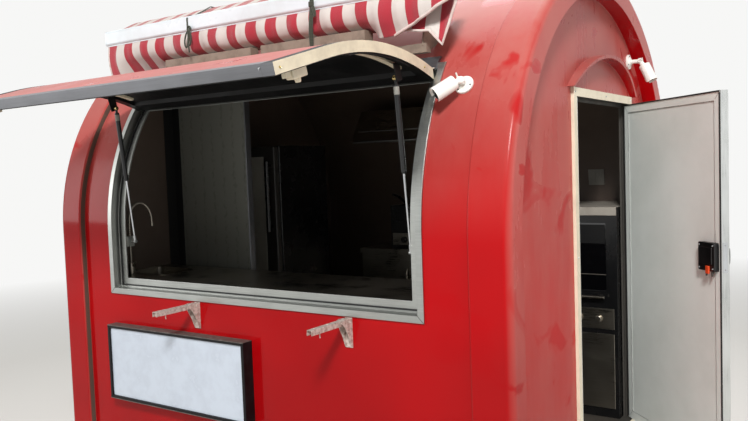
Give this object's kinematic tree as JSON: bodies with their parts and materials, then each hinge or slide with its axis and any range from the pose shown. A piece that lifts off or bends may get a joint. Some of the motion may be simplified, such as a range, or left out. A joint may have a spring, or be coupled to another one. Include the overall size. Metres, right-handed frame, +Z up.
{
  "type": "towed street-food trailer with a half-round roof",
  "caption": "Round-roofed street-food trailer on one axle, with a top-hung serving hatch, folded striped awning, open rear door, counters and a drawbar with a jockey wheel.",
  "frame": {"origin": "on the ground under the middle of the body", "axes": "+X towards the rear end with the door, -Y towards the serving side, +Z up"},
  "size_m": [4.1692, 2.9831, 2.6798],
  "materials": {
    "gelcoat": "glossy crimson gelcoat",
    "floor": "ply with worn vinyl",
    "chassis": "black chassis paint",
    "galvanised": "zinc plated",
    "tyre": "rubber",
    "wheel_steel": "silver paint",
    "frame_aluminium": "brushed, pale",
    "hatch_band": "cream powder coat",
    "hatch_rail": "grey anodised",
    "strut_black": "satin black",
    "strut_rod": "hard chrome",
    "door_face": "pale grey enamel",
    "door_frame": "cream powder coat",
    "lock_black": "moulded",
    "awning_paint": "white powder coat",
    "awning_steel": "grey paint",
    "awning_cloth": "striped acrylic cloth",
    "tie_strap": "woven strap",
    "sign_frame": "black",
    "sign_panel": "blank white acrylic",
    "bare_steel": "bare, rusty",
    "camera_white": "white moulded",
    "lamp_red": "red lens",
    "plate": "blank white",
    "stainless": "brushed",
    "film_panel": "film-wrapped panel",
    "appliance_black": "black enamel",
    "switch_white": "white moulded"
  },
  "bodies": {
    "trailer": {"barrel_shell": "gelcoat", "rear_end_shell": "gelcoat", "front_end_shell": "gelcoat", "floor_deck": "floor", "wheel_housings": "galvanised", "chassis_frame": "chassis", "leg_brackets": "chassis", "drawbar": "chassis", "coupling_head": "galvanised", "jockey_tube": "galvanised", "axle": "chassis", "window_frame": "frame_aluminium", "hinge_rail": "frame_aluminium", "door_frame": "door_frame", "awning_brackets": "awning_steel", "awning_roller": "awning_steel", "awning_roll": "awning_cloth", "awning_valance": "awning_cloth", "awning_front_bar": "awning_paint", "awning_arms": "awning_steel", "awning_ties": "tie_strap", "sign_box": "sign_frame", "sign_panel": "sign_panel", "shelf_plates": "bare_steel", "camera_side": "camera_white", "camera_rear": "camera_white", "tail_lamps": "lamp_red", "number_plate": "plate", "counter_front": "stainless", "counter_back": "stainless", "sink_and_tap": "stainless", "partition": "film_panel", "fridge": "stainless", "extractor_hood": "stainless", "fryer": "appliance_black", "oven": "appliance_black", "switch_plate": "switch_white"},
    "hatch": {"hatch_panel": "gelcoat", "hatch_frame": "hatch_band", "hatch_rail": "hatch_rail"},
    "strut_tube_left": {"strut_tube_left": "strut_black"},
    "strut_tube_right": {"strut_tube_right": "strut_black"},
    "strut_rod_left": {"strut_rod_left": "strut_rod"},
    "strut_rod_right": {"strut_rod_right": "strut_rod"},
    "door": {"door_leaf": "door_face", "door_lock": "lock_black"},
    "wheel_near": {"rim_near": "wheel_steel", "tyre_near": "tyre"},
    "wheel_far": {"rim_far": "wheel_steel", "tyre_far": "tyre"},
    "jockey_leg": {"jockey_leg": "galvanised"},
    "jockey_fork": {"jockey_fork": "galvanised"},
    "jockey_wheel": {"jockey_wheel": "tyre"},
    "shelf_arm_left": {"shelf_arm_left": "bare_steel"},
    "shelf_arm_right": {"shelf_arm_right": "bare_steel"},
    "leg_front_near": {"leg_front_near": "galvanised"},
    "leg_front_far": {"leg_front_far": "galvanised"},
    "leg_rear_near": {"leg_rear_near": "galvanised"},
    "leg_rear_far": {"leg_rear_far": "galvanised"}
  },
  "joints": [
    {"name": "hatch_hinge", "type": "hinge", "parent": "trailer", "child": "hatch", "pos_m": [0, -0.90378, 2.203], "axis": [1, 0, 0], "range_deg": [0, 74]},
    {"name": "door_hinge", "type": "hinge", "parent": "trailer", "child": "door", "pos_m": [1.222, 0.537, 1.2], "axis": [0, 0, 1], "range_deg": [-45, 65]},
    {"name": "wheel_near_spin", "type": "hinge", "parent": "trailer", "child": "wheel_near", "pos_m": [0.08, -0.965, 0.281], "axis": [0, 1, 0], "continuous": true},
    {"name": "wheel_far_spin", "type": "hinge", "parent": "trailer", "child": "wheel_far", "pos_m": [0.08, 0.965, 0.281], "axis": [0, 1, 0], "continuous": true},
    {"name": "jockey_slide", "type": "slide", "parent": "trailer", "child": "jockey_leg", "axis": [0, 0, 1], "range_m": [-0.1, 0.08]},
    {"name": "jockey_swivel", "type": "hinge", "parent": "jockey_leg", "child": "jockey_fork", "pos_m": [-1.99, 0, 0.24], "axis": [0, 0, 1], "continuous": true},
    {"name": "jockey_spin", "type": "hinge", "parent": "jockey_fork", "child": "jockey_wheel", "pos_m": [-1.945, 0, 0.1], "axis": [0, 1, 0], "continuous": true},
    {"name": "shelf_arm_left_fold", "type": "hinge", "parent": "trailer", "child": "shelf_arm_left", "pos_m": [-0.3, -1.12, 1.222], "axis": [1, 0, 0], "range_deg": [0, 60]},
    {"name": "shelf_arm_right_fold", "type": "hinge", "parent": "trailer", "child": "shelf_arm_right", "pos_m": [0.56, -1.12, 1.222], "axis": [1, 0, 0], "range_deg": [0, 85]},
    {"name": "strut_left_turn", "type": "hinge", "parent": "hatch", "child": "strut_tube_left", "pos_m": [-0.812, -1.09378, 2.158], "axis": [1, 0, 0], "range_deg": [-96, 0]},
    {"name": "strut_left_stroke", "type": "slide", "parent": "strut_tube_left", "child": "strut_rod_left", "axis": [0, -0.1076, 0.9942], "range_m": [0, 0.1464]},
    {"name": "strut_right_turn", "type": "hinge", "parent": "hatch", "child": "strut_tube_right", "pos_m": [0.812, -1.09378, 2.158], "axis": [1, 0, 0], "range_deg": [-96, 0]},
    {"name": "strut_right_stroke", "type": "slide", "parent": "strut_tube_right", "child": "strut_rod_right", "axis": [0, -0.1076, 0.9942], "range_m": [0, 0.1464]},
    {"name": "leg_front_near_fold", "type": "hinge", "parent": "trailer", "child": "leg_front_near", "pos_m": [-1, -0.8, 0.31], "axis": [0, -1, 0], "range_deg": [0, 90]},
    {"name": "leg_front_far_fold", "type": "hinge", "parent": "trailer", "child": "leg_front_far", "pos_m": [-1, 0.8, 0.31], "axis": [0, -1, 0], "range_deg": [0, 90]},
    {"name": "leg_rear_near_fold", "type": "hinge", "parent": "trailer", "child": "leg_rear_near", "pos_m": [1, -0.8, 0.31], "axis": [0, 1, 0], "range_deg": [0, 90]},
    {"name": "leg_rear_far_fold", "type": "hinge", "parent": "trailer", "child": "leg_rear_far", "pos_m": [1, 0.8, 0.31], "axis": [0, 1, 0], "range_deg": [0, 90]}
  ],
  "couplings": [
    {"joint": "strut_left_turn", "follows": "hatch_hinge", "ratio": -1.2458},
    {"joint": "strut_left_stroke", "follows": "hatch_hinge", "m_per_rad": 0.11029},
    {"joint": "strut_right_turn", "follows": "hatch_hinge", "ratio": -1.2458},
    {"joint": "strut_right_stroke", "follows": "hatch_hinge", "m_per_rad": 0.11029}
  ]
}
